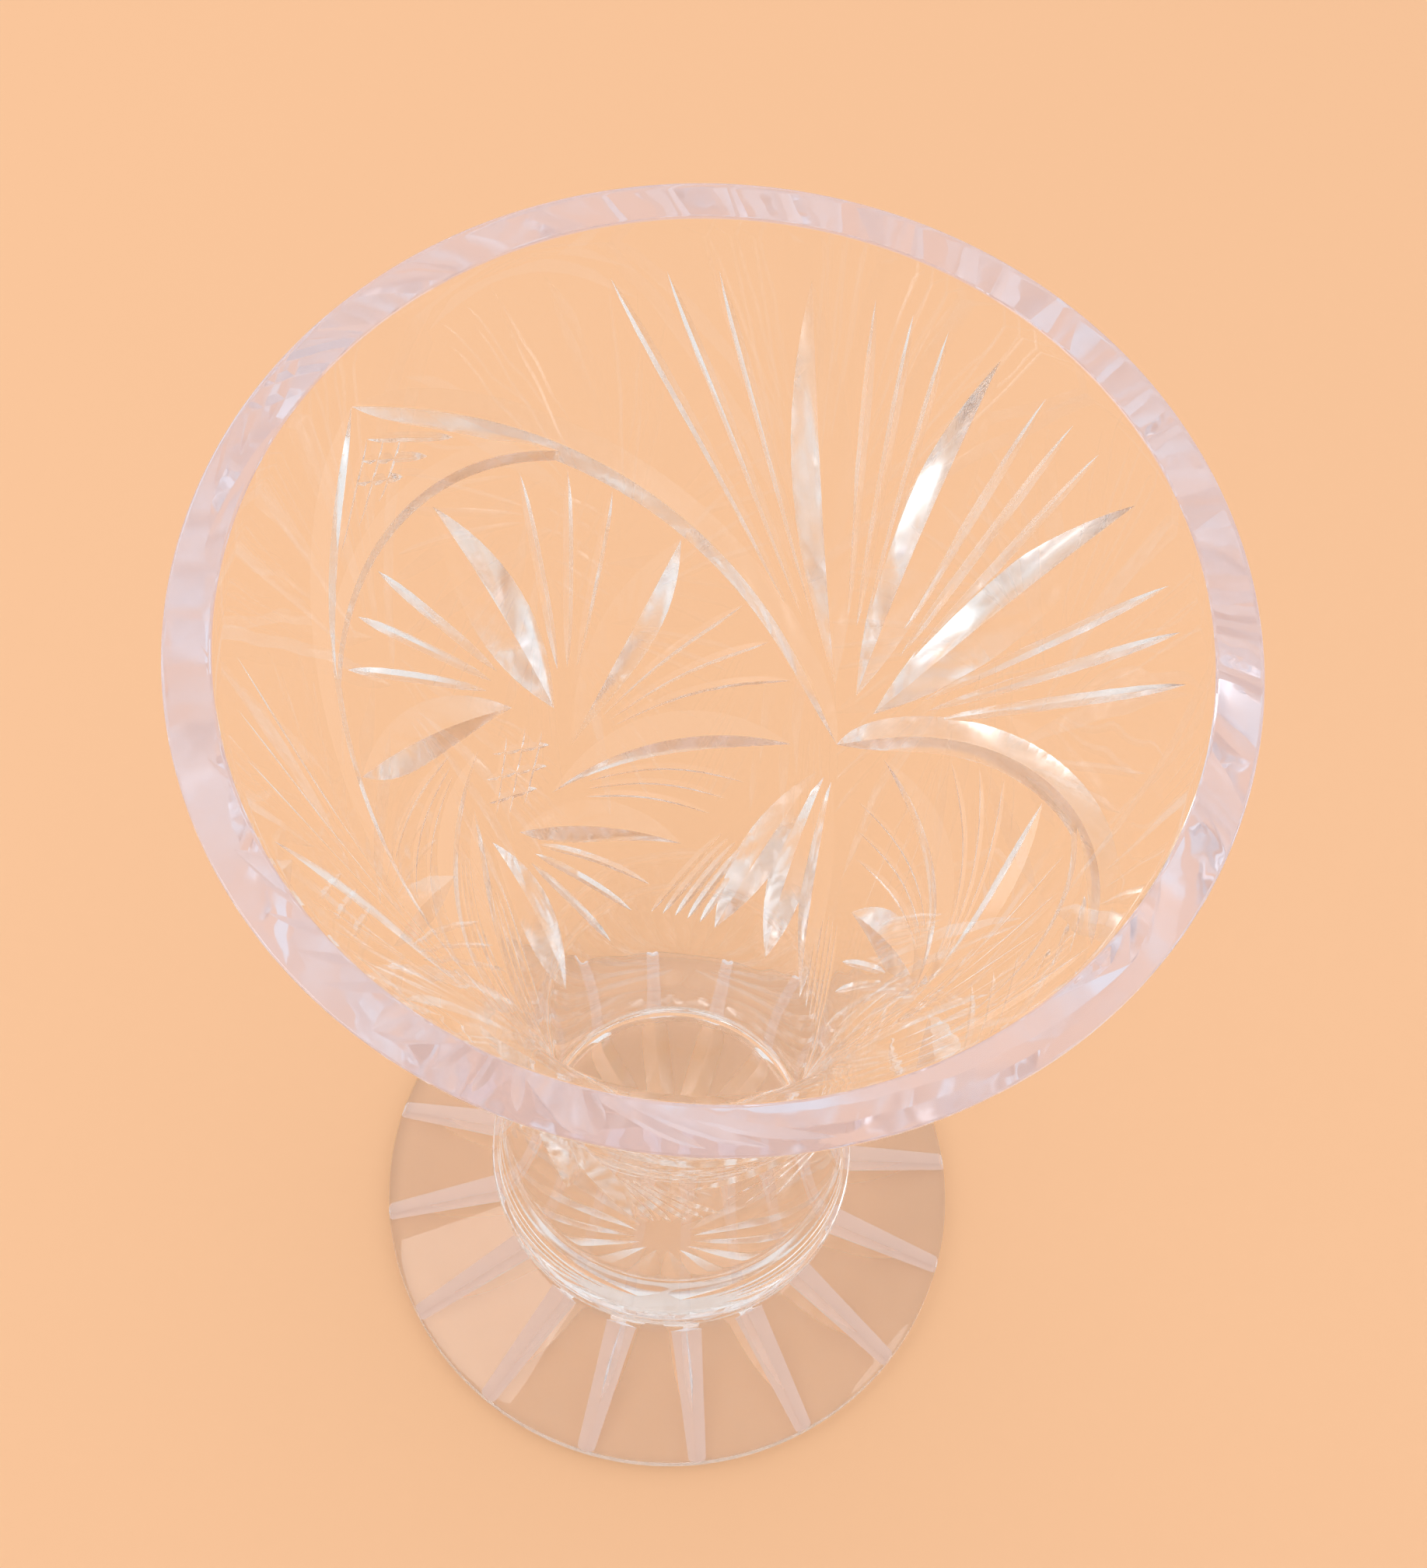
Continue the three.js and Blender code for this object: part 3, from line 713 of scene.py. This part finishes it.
# lays the drawing on the wall, repeats it round the axis and takes every cut out of the blank
def bowlCutsTree(wallSteps=400):
    takes = {
        "Blank": ("Geometry", None), "Drawing": ("Object", None), "Motif Pairs": ("Int", 2),
        "Girdle Run": ("Float", 0.09), "Base Radius": ("Float", 0.027), "Base Height": ("Float", 0.02),
        "Base Lean": ("Float", 0.0), "Lip Radius": ("Float", 0.06), "Lip Height": ("Float", 0.185),
        "Lip Lean": ("Float", 0.0), "Lift": ("Float", 0.001), "Wall Glass": ("Material", None),
        "Cut Glass": ("Material", None), "Fine Cut Glass": ("Material", None),
    }
    for kind in cutKinds:
        takes[kind.title() + " Width"] = ("Float", cutSizes[kind]["width"])
        takes[kind.title() + " Depth"] = ("Float", cutSizes[kind]["depth"])
    tree, takes, gives = newTree("bowlCuts", takes, {"Geometry": "Geometry"})

    # the same curve as outerCurve
    third = maths(tree, "DIVIDE", maths(tree, "SUBTRACT", takes["Lip Height"], takes["Base Height"]), 3.0)
    baseTangent, lipTangent = (maths(tree, "TANGENT", takes[end + " Lean"]) for end in ("Base", "Lip"))
    baseOut = maths(tree, "MULTIPLY_ADD", third, baseTangent, takes["Base Radius"])
    lipIn = maths(tree, "SUBTRACT", takes["Lip Radius"], maths(tree, "MULTIPLY", third, lipTangent))
    wall = addNode(
        tree, "GeometryNodeCurvePrimitiveBezierSegment",
        {
            "Resolution": wallSteps,
            "Start": vector(tree, takes["Base Radius"], 0.0, takes["Base Height"]),
            "Start Handle": vector(tree, baseOut, 0.0, maths(tree, "ADD", takes["Base Height"], third)),
            "End Handle": vector(tree, lipIn, 0.0, maths(tree, "SUBTRACT", takes["Lip Height"], third)),
            "End": vector(tree, takes["Lip Radius"], 0.0, takes["Lip Height"]),
        },
        mode="POSITION",
    ).outputs["Curve"]

    values = {"Wall": wall, "Girdle Run": takes["Girdle Run"], "Lift": takes["Lift"]}
    kinds = [(kind.title(), 2 if kind == "fine" else 1, values) for kind in cutKinds]
    cutters = sweepKinds(tree, takes, kinds)
    cut = takeAway(tree, takes["Blank"], repeatRound(tree, cutters, takes["Motif Pairs"]))
    finishes = [takes["Wall Glass"], takes["Cut Glass"], takes["Fine Cut Glass"]]
    tree.links.new(finishFaces(tree, cut, finishes), gives["Geometry"])
    return tree


def makeBowl():
    strokes = [lensStroke(stroke) for stroke in medallionStrokes() + fanStrokes()]
    drawing = drawingObject("bowlDrawing", strokes)
    blank = turnedBlank("bowlBlank", bowlOutline(), bowlSizes["segments"], materials["wallGlass"])
    addTree(blank, "cuts", bowlCutsTree(), {
        "Drawing": drawing, "Motif Pairs": cutSizes["pairs"],
        "Girdle Run": girdleRun, "Lift": cutSizes["lift"],
        "Base Radius": bowlSizes["baseRadius"], "Base Height": baseHeight,
        "Base Lean": math.radians(bowlSizes["baseLean"]), "Lip Radius": lipRadius, "Lip Height": lipHeight,
        "Lip Lean": math.radians(bowlSizes["lipLean"]), "Wall Glass": materials["wallGlass"],
        "Cut Glass": materials["cutGlass"], "Fine Cut Glass": materials["fineCutGlass"],
    })
    piece = plainMesh(blank, "cut_bowl")
    bpy.data.objects.remove(drawing)
    return piece


bowl = makeBowl()
print("bowl cut:", len(bowl.data.polygons), "faces")


# the disc of glass between the bowl and the foot
waferSizes = {"edgeSoftness": 0.0005, "neckRadius": 0.0248, "segments": 192, "rings": 10}


def makeWafer():
    low, high, radius = waferBox[0].z, waferBox[1].z, radiusInside("joining_wafer")
    soft, rings = waferSizes["edgeSoftness"], waferSizes["rings"]
    lower = roundedCorner((0, low), (radius, low), (radius, high), soft)
    upper = roundedCorner((radius, low), (radius, high), (0, high), soft)
    under = level(0, waferSizes["neckRadius"], low, rings)
    over = level(bowlSizes["baseRadius"], 0, high, rings)
    outline = [tuple(p) for p in [*under, *lower, *upper, *over]]
    blank = turnedBlank("waferBlank", outline, waferSizes["segments"], materials["tooledGlass"])
    return plainMesh(blank, "joining_disc")


wafer = makeWafer()
print("wafer turned")


# the foot: a low cone on an upright edge, with rays down it from the neck and a star under it
footSizes = {
    "edgeHeight": 0.0028, "edgeSoftness": 0.0006, "coneTopRadius": 0.0262, "coneTopHeight": 0.01,
    "neckCurveHeight": 0.0034, "segments": 256, "rings": {"under": 16, "cone": 14, "neck": 12, "top": 10},
    "rays": 16,
    "ray": {  # runs are measured down the cone from its top, and the shares are of the depth
        "width": 0.0042, "depth": 0.0013, "lift": 0.0035, "shoulder": -0.0022, "full": -0.0002,
        "endShare": 0.6, "overrun": 1.15, "shoulderSteps": 5, "steps": 16,
    },
    "star": {
        "width": 0.0044, "depth": 0.0011, "lift": 0.0008, "inner": 0.0034, "outer": 0.0375,
        "fullness": 4.0, "steps": 20,
    },
}
footRadius, coneTop = radiusInside("foot"), (footSizes["coneTopRadius"], footSizes["coneTopHeight"])
coneEdge = (footRadius, footSizes["edgeHeight"])
coneLength = math.dist(coneTop, coneEdge)
coneSlope = (coneTop[1] - coneEdge[1]) / (coneTop[0] - coneEdge[0])


# from the middle of the underside out, up the edge and the cone, round into the neck and in to the axis
def footOutline():
    soft, neck, rings = footSizes["edgeSoftness"], waferSizes["neckRadius"], footSizes["rings"]
    under = level(0, footRadius, 0.0, rings["under"])[:-1]
    lower = roundedCorner((0, 0), (footRadius, 0), coneEdge, soft)
    upper = roundedCorner((footRadius, 0), coneEdge, coneTop, soft)
    edge, rise = np.array(coneEdge), np.array(coneTop) - np.array(coneEdge)
    cone = [edge + rise * t for t in np.linspace(0, 1, rings["cone"])[1:]]
    neckCorner = (neck, coneTop[1] - (coneTop[0] - neck) * coneSlope)
    turn = bend(coneTop, neckCorner, (neck, coneTop[1] + footSizes["neckCurveHeight"]), rings["neck"])[1:]
    top = level(neck, 0, footBox[1].z, rings["top"])
    return [tuple(p) for p in [*under, *lower, *upper, *cone, *turn, *top]]


# a ray sinks in above the cone's top, has its full depth there and gets shallower down to the edge
def rayStroke():
    ray = footSizes["ray"]
    shoulder, full = ray["shoulder"], ray["full"]
    runs = np.linspace(shoulder, full, ray["shoulderSteps"])
    runs = np.concatenate([runs, np.linspace(full, coneLength * ray["overrun"], ray["steps"])[1:]])
    lift = ray["lift"] / ray["depth"]
    shares = [
        -lift + (1 + lift) * (run - shoulder) / (full - shoulder) if run <= full
        else 1 + (ray["endShare"] - 1) * (run - full) / (coneLength - full)
        for run in runs
    ]
    return {"kind": 0, "motif": 0.0, "points": [(0.0, -run) for run in runs], "shares": shares}


def starStroke():
    star = footSizes["star"]
    places = lensPlaces(star, star["lift"])
    points = [(0.0, star["inner"] + (star["outer"] - star["inner"]) * (place + 1) / 2) for place in places]
    return {"kind": 1, "motif": 0.0, "points": points, "shares": lensShares(star, places)}


# the cone and the underside are straight walls: one from below the edge to above the cone's top, and one
# from near the axis out past the edge
def footCutsTree(below=2.0, above=0.5, nearAxis=0.0001, pastEdge=0.06):
    tree, takes, gives = newTree(
        "footCuts",
        {
            "Blank": ("Geometry", None), "Drawing": ("Object", None), "Rays": ("Int", 16),
            "Cone Top Radius": ("Float", 0.0284), "Cone Top Height": ("Float", 0.0175),
            "Cone Edge Radius": ("Float", 0.0444), "Cone Edge Height": ("Float", 0.0028),
            "Ray Width": ("Float", 0.0044), "Ray Depth": ("Float", 0.0013), "Ray Lift": ("Float", 0.0035),
            "Star Width": ("Float", 0.0044), "Star Depth": ("Float", 0.0011), "Star Lift": ("Float", 0.0008),
            "Wall Glass": ("Material", None), "Ray Glass": ("Material", None),
            "Star Glass": ("Material", None),
        },
        {"Geometry": "Geometry"},
    )
    top = vector(tree, takes["Cone Top Radius"], 0.0, takes["Cone Top Height"])
    edge = vector(tree, takes["Cone Edge Radius"], 0.0, takes["Cone Edge Height"])
    slope = vectorMaths(tree, "SUBTRACT", edge, top)
    low, high = (vectorMaths(tree, "MULTIPLY_ADD", slope, (times,) * 3, top) for times in (below, -above))
    cone = addNode(tree, "GeometryNodeCurvePrimitiveLine", {"Start": low, "End": high}).outputs[0]
    coneRun = maths(tree, "MULTIPLY", vectorMaths(tree, "LENGTH", slope, output="Value"), below)
    axisOut = {"Start": (nearAxis, 0.0, 0.0), "End": (pastEdge, 0.0, 0.0)}
    under = addNode(tree, "GeometryNodeCurvePrimitiveLine", axisOut).outputs[0]
    cutters = sweepKinds(tree, takes, [
        ("Ray", 1, {"Wall": cone, "Girdle Run": coneRun, "Lift": takes["Ray Lift"]}),
        ("Star", 2, {"Wall": under, "Girdle Run": 0.0, "Lift": takes["Star Lift"]}),
    ])
    cut = takeAway(tree, takes["Blank"], repeatRound(tree, cutters, takes["Rays"]))
    finishes = [takes["Wall Glass"], takes["Ray Glass"], takes["Star Glass"]]
    tree.links.new(finishFaces(tree, cut, finishes), gives["Geometry"])
    return tree


def makeFoot():
    drawing = drawingObject("footDrawing", [rayStroke(), starStroke()])
    blank = turnedBlank("footBlank", footOutline(), footSizes["segments"], materials["wallGlass"])
    values = {
        "Drawing": drawing, "Rays": footSizes["rays"],
        "Cone Top Radius": coneTop[0], "Cone Top Height": coneTop[1],
        "Cone Edge Radius": coneEdge[0], "Cone Edge Height": coneEdge[1],
        "Wall Glass": materials["wallGlass"], "Ray Glass": materials["rayGlass"],
        "Star Glass": materials["cutGlass"],
    }
    for kind in ("ray", "star"):
        for size in ("width", "depth", "lift"):
            values[kind.title() + " " + size.title()] = footSizes[kind][size]
    addTree(blank, "rays", footCutsTree(), values)
    piece = plainMesh(blank, "rayed_foot")
    bpy.data.objects.remove(drawing)
    return piece


foot = makeFoot()
print("foot cut:", len(foot.data.polygons), "faces")


# a material's slot on a piece, added where it isn't there yet
def slotOf(piece, material):
    if piece.data.materials.find(material.name) < 0:
        piece.data.materials.append(material)
    return piece.data.materials.find(material.name)


# faces that lie on another piece's glass
def fuse(piece, height, radius, flat=0.9):
    slot = slotOf(piece, fusedFace)
    for face in piece.data.polygons:
        onLevel = abs(face.center.z - height) < levelGap and abs(face.normal.z) > flat
        if onLevel and math.hypot(*face.center.xy) < radius:
            face.material_index = slot


# the faces that look up from the top of the rim
def finishLip(down=0.0006, inward=0.0003, flat=0.5):
    slot = slotOf(bowl, materials["lipGlass"])
    for face in bowl.data.polygons:
        onLip = face.center.z > lipHeight - down and math.hypot(*face.center.xy) > lipInner - inward
        if onLip and face.normal.z > flat:
            face.material_index = slot


# the uncut faces of the neck and of the underside
def finishFoot():
    neck, ground = slotOf(foot, materials["tooledGlass"]), slotOf(foot, materials["groundGlass"])
    wall = slotOf(foot, materials["wallGlass"])
    for face in foot.data.polygons:
        if face.material_index != wall:
            continue
        if coneTop[1] < face.center.z < footBox[1].z - levelGap:
            face.material_index = neck
        elif face.center.z < levelGap:
            face.material_index = ground


fuse(bowl, baseHeight, lipRadius)
fuse(wafer, waferBox[1].z, bowlSizes["baseRadius"])
fuse(wafer, waferBox[0].z, waferSizes["neckRadius"])
fuse(foot, footBox[1].z, footRadius)
finishLip()
finishFoot()


# one value, or a few, of every item in one of a mesh's collections
def readAll(items, name, kind=float, width=1):
    found = np.zeros(len(items) * width, kind)
    items.foreach_get(name, found)
    return found.reshape(-1, width) if width > 1 else found


# crisp where a cut meets the wall or a finish ends, and smooth along each facet
def softenFacets(mesh, cornerMaterial, crease):
    mesh.shade_smooth()
    mesh.set_sharp_from_angle(angle=math.radians(crease))
    cornerEdge = readAll(mesh.loops, "edge_index", int)
    low, high = np.full(len(mesh.edges), len(mesh.materials)), np.full(len(mesh.edges), -1)
    np.minimum.at(low, cornerEdge, cornerMaterial)
    np.maximum.at(high, cornerEdge, cornerMaterial)
    marks = mesh.attributes["sharp_edge"].data
    marks.foreach_set("value", readAll(marks, "value", bool) | (low != high))
    mesh.update()


# a wall is its radius and its lean by height, and its lowest and highest height; between the cuts its
# normals are those of the turned shape
def shadeGlass(piece, wall=None, crease=16.0):
    mesh = piece.data
    faceSizes = [len(face.vertices) for face in mesh.polygons]
    cornerMaterial = np.repeat(readAll(mesh.polygons, "material_index", int), faceSizes)
    softenFacets(mesh, cornerMaterial, crease)
    normals = readAll(mesh.corner_normals, "vector", width=3)
    if wall:
        radiusAt, leanAt, bottom, top = wall
        places = readAll(mesh.vertices, "co", width=3)[readAll(mesh.loops, "vertex_index", int)]
        radius, height = np.hypot(places[:, 0], places[:, 1]), places[:, 2]
        onWall = (cornerMaterial == mesh.materials.find("wallGlass")) & (height > bottom) & (height < top)
        onWall &= np.abs(radius - radiusAt(height)) < wallGap
        x, y = places[onWall, 0] / radius[onWall], places[onWall, 1] / radius[onWall]
        lean = leanAt(height[onWall])
        normals[onWall] = np.column_stack([x, y, -lean]) / np.hypot(1, lean)[:, None]
    mesh.normals_split_custom_set(normals.tolist())


def alongCurve(curve, values):
    return lambda height: np.interp(height, curve[:, 1], values)


outerLean = np.gradient(outerWall[:, 0], outerWall[:, 1])
shadeGlass(bowl, (
    alongCurve(outerWall, outerWall[:, 0]), alongCurve(outerWall, outerLean),
    baseHeight + tiny, lipHeight - bowlSizes["lipSoftness"],
))
shadeGlass(wafer)
coneLine = np.array([coneEdge, coneTop])
shadeGlass(foot, (
    alongCurve(coneLine, coneLine[:, 0]), alongCurve(coneLine, [1 / coneSlope] * 2),
    footSizes["edgeHeight"] + footSizes["edgeSoftness"], coneTop[1] - tiny,
))

for piece, node in ((bowl, "bowl"), (wafer, "joining_wafer"), (foot, "foot")):
    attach(piece, "root")
    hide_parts(node)
print("pieces ride on the frame")


# the floor, the sky and the lamps
stageLooks = {
    "floorColour": (0.92, 0.54, 0.31), "floorSize": 24.0, "floorDrop": 0.0002,
    "floorRoughness": 0.9, "floorShine": 0.2, "sky": (1.0, 1.0, 1.0), "skyStrength": 0.87,
    "lampAim": (0, 0, 0.1), "bounces": 64,
    "lamps": {
        "softKey": {"place": (-0.631, 0.548, 1.096), "size": 0.845, "power": 3.9},
        "softFill": {"place": (0.334, -0.969, 0.9), "size": 0.412, "power": 0.85},
    },
}


def makeFloor():
    half, drop = stageLooks["floorSize"] / 2, stageLooks["floorDrop"]
    mesh = bpy.data.meshes.new("floor")
    corners = [(-half, -half), (half, -half), (half, half), (-half, half)]
    mesh.from_pydata([(x, y, -drop) for x, y in corners], [], [(0, 1, 2, 3)])
    mesh.materials.append(plainMaterial("paleFloor", {
        "Base Color": (*stageLooks["floorColour"], 1.0), "Roughness": stageLooks["floorRoughness"],
        "Specular IOR Level": stageLooks["floorShine"],
    }))
    return newObject("floor", mesh)


def makeSky():
    world = bpy.data.worlds.new("studio")
    world.use_nodes = True
    sky = world.node_tree.nodes["Background"].inputs
    sky["Color"].default_value = (*stageLooks["sky"], 1.0)
    sky["Strength"].default_value = stageLooks["skyStrength"]
    bpy.context.scene.world = world


def makeLamp(name, place, size, power):
    light = bpy.data.lights.new(name, "AREA")
    light.shape, light.size, light.energy = "DISK", size, power
    lamp = newObject(name, light)
    lamp.location = place
    towards = Vector(stageLooks["lampAim"]) - Vector(place)
    lamp.rotation_euler = towards.to_track_quat("-Z", "Y").to_euler()


floor = makeFloor()
makeSky()
for name, lamp in stageLooks["lamps"].items():
    makeLamp(name, **lamp)
paths = bpy.context.scene.cycles  # cut facets send light round inside the glass many times
paths.max_bounces = paths.glossy_bounces = paths.transmission_bounces = stageLooks["bounces"]
paths.transparent_max_bounces = stageLooks["bounces"]

cameraSizes = {
    "azimuth": -56.0, "elevation": 64.04, "roll": 5.354, "distance": 0.3888,
    "target": (0.00106, -0.00075, 0.14933), "lens": 75.0, "sensor": 36.0,
}


# looks at the target from the photo's side, rolled a little as the photo is
def photoCamera():
    azimuth, elevation, roll = (math.radians(cameraSizes[k]) for k in ("azimuth", "elevation", "roll"))
    flat = math.cos(elevation)
    back = Vector((math.sin(azimuth) * flat, -math.cos(azimuth) * flat, math.sin(elevation)))
    right = Vector((math.cos(azimuth), math.sin(azimuth), 0))
    upward = back.cross(right)
    rolledRight = right * math.cos(roll) + upward * math.sin(roll)
    rolledUp = -right * math.sin(roll) + upward * math.cos(roll)
    lens = bpy.data.cameras.new("photoCamera")
    lens.lens, lens.sensor_width, lens.sensor_fit = cameraSizes["lens"], cameraSizes["sensor"], "AUTO"
    camera = newObject("photoCamera", lens)
    place = Vector(cameraSizes["target"]) + back * cameraSizes["distance"]
    rotation = Matrix((rolledRight, rolledUp, back)).transposed().to_4x4()
    camera.matrix_world = Matrix.Translation(place) @ rotation
    bpy.context.scene.camera = camera


photoCamera()
bpy.context.scene.view_settings.view_transform = "Standard"
